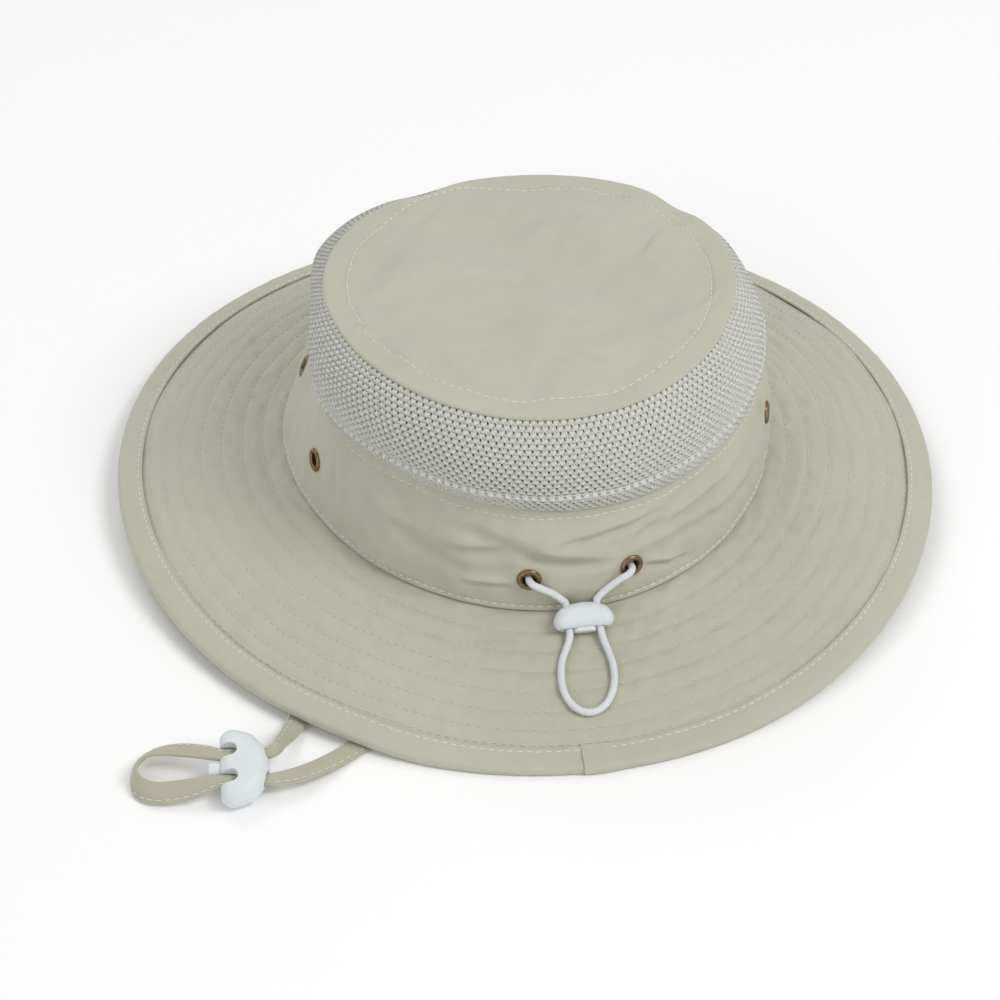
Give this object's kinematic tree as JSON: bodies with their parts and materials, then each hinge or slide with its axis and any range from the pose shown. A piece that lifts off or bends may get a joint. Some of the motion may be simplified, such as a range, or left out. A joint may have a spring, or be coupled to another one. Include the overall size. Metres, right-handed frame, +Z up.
{
  "type": "boonie sun hat",
  "caption": "Round-crowned sun hat with a mesh vent band, wide stitched brim, rear drawcord with a sprung lock, and a chin strap with a sliding sprung lock.",
  "frame": {"origin": "on the surface that the hat rests on, under the middle of the brim", "axes": "+Z up, the wearer faces -Y, so the drawcord and its lock are at +Y; +X is the wearer's left"},
  "size_m": [0.3145, 0.319, 0.0978],
  "materials": {
    "khaki_nylon": "matte plain-weave nylon",
    "khaki_binding": "matte plain-weave nylon tape",
    "khaki_strap": "matte folded nylon tube, stitched along one edge",
    "sweatband_cloth": "matte cotton",
    "grey_mesh": "open knitted air mesh",
    "interlining_felt": "matte bonded interlining",
    "antique_brass": "darkened antique plating",
    "white_elastic": "braided elastic cord",
    "white_plastic": "satin moulded plastic",
    "spring_steel": "bright spring wire"
  },
  "bodies": {
    "hat": {"crown_top": "khaki_nylon", "crown_seam_tape": "khaki_binding", "mesh_band": "grey_mesh", "crown_wall": "khaki_nylon", "cord_casing": "khaki_binding", "sweatband": "sweatband_cloth", "brim_upper": "khaki_nylon", "brim_interlining": "interlining_felt", "brim_under": "khaki_nylon", "brim_binding": "khaki_binding", "vent_eyelets": "antique_brass", "vent_washers": "antique_brass", "cord_eyelets": "antique_brass", "cord_washers": "antique_brass", "drawcord": "white_elastic", "drawcord_hidden_run": "white_elastic", "chin_strap": "khaki_strap"},
    "rear_lock": {"rear_lock_body": "white_plastic", "rear_lock_spring": "spring_steel"},
    "rear_plunger": {"rear_lock_plunger": "white_plastic"},
    "chin_lock": {"chin_lock_body": "white_plastic", "chin_lock_spring": "spring_steel"},
    "chin_plunger": {"chin_lock_plunger": "white_plastic"}
  },
  "joints": [
    {"name": "rear_lock_slide", "type": "slide", "parent": "hat", "child": "rear_lock", "axis": [0.0508, 0.9691, -0.2413], "range_m": [-0.001, 0.02], "deforming": ["drawcord"]},
    {"name": "rear_lock_press", "type": "slide", "parent": "rear_lock", "child": "rear_plunger", "axis": [-0.0444, -0.8469, 0.5299], "range_m": [0, 0.0012], "stiffness_N_per_m": 500, "deforming": ["rear_lock_spring"]},
    {"name": "chin_lock_slide", "type": "slide", "parent": "hat", "child": "chin_lock", "axis": [0.9945, -0.1045, 0], "range_m": [-0.006, 0.02], "deforming": ["chin_strap"]},
    {"name": "chin_lock_press", "type": "slide", "parent": "chin_lock", "child": "chin_plunger", "axis": [-0.9945, 0.1045, 0], "range_m": [0, 0.003], "stiffness_N_per_m": 500, "deforming": ["chin_lock_spring"]}
  ]
}
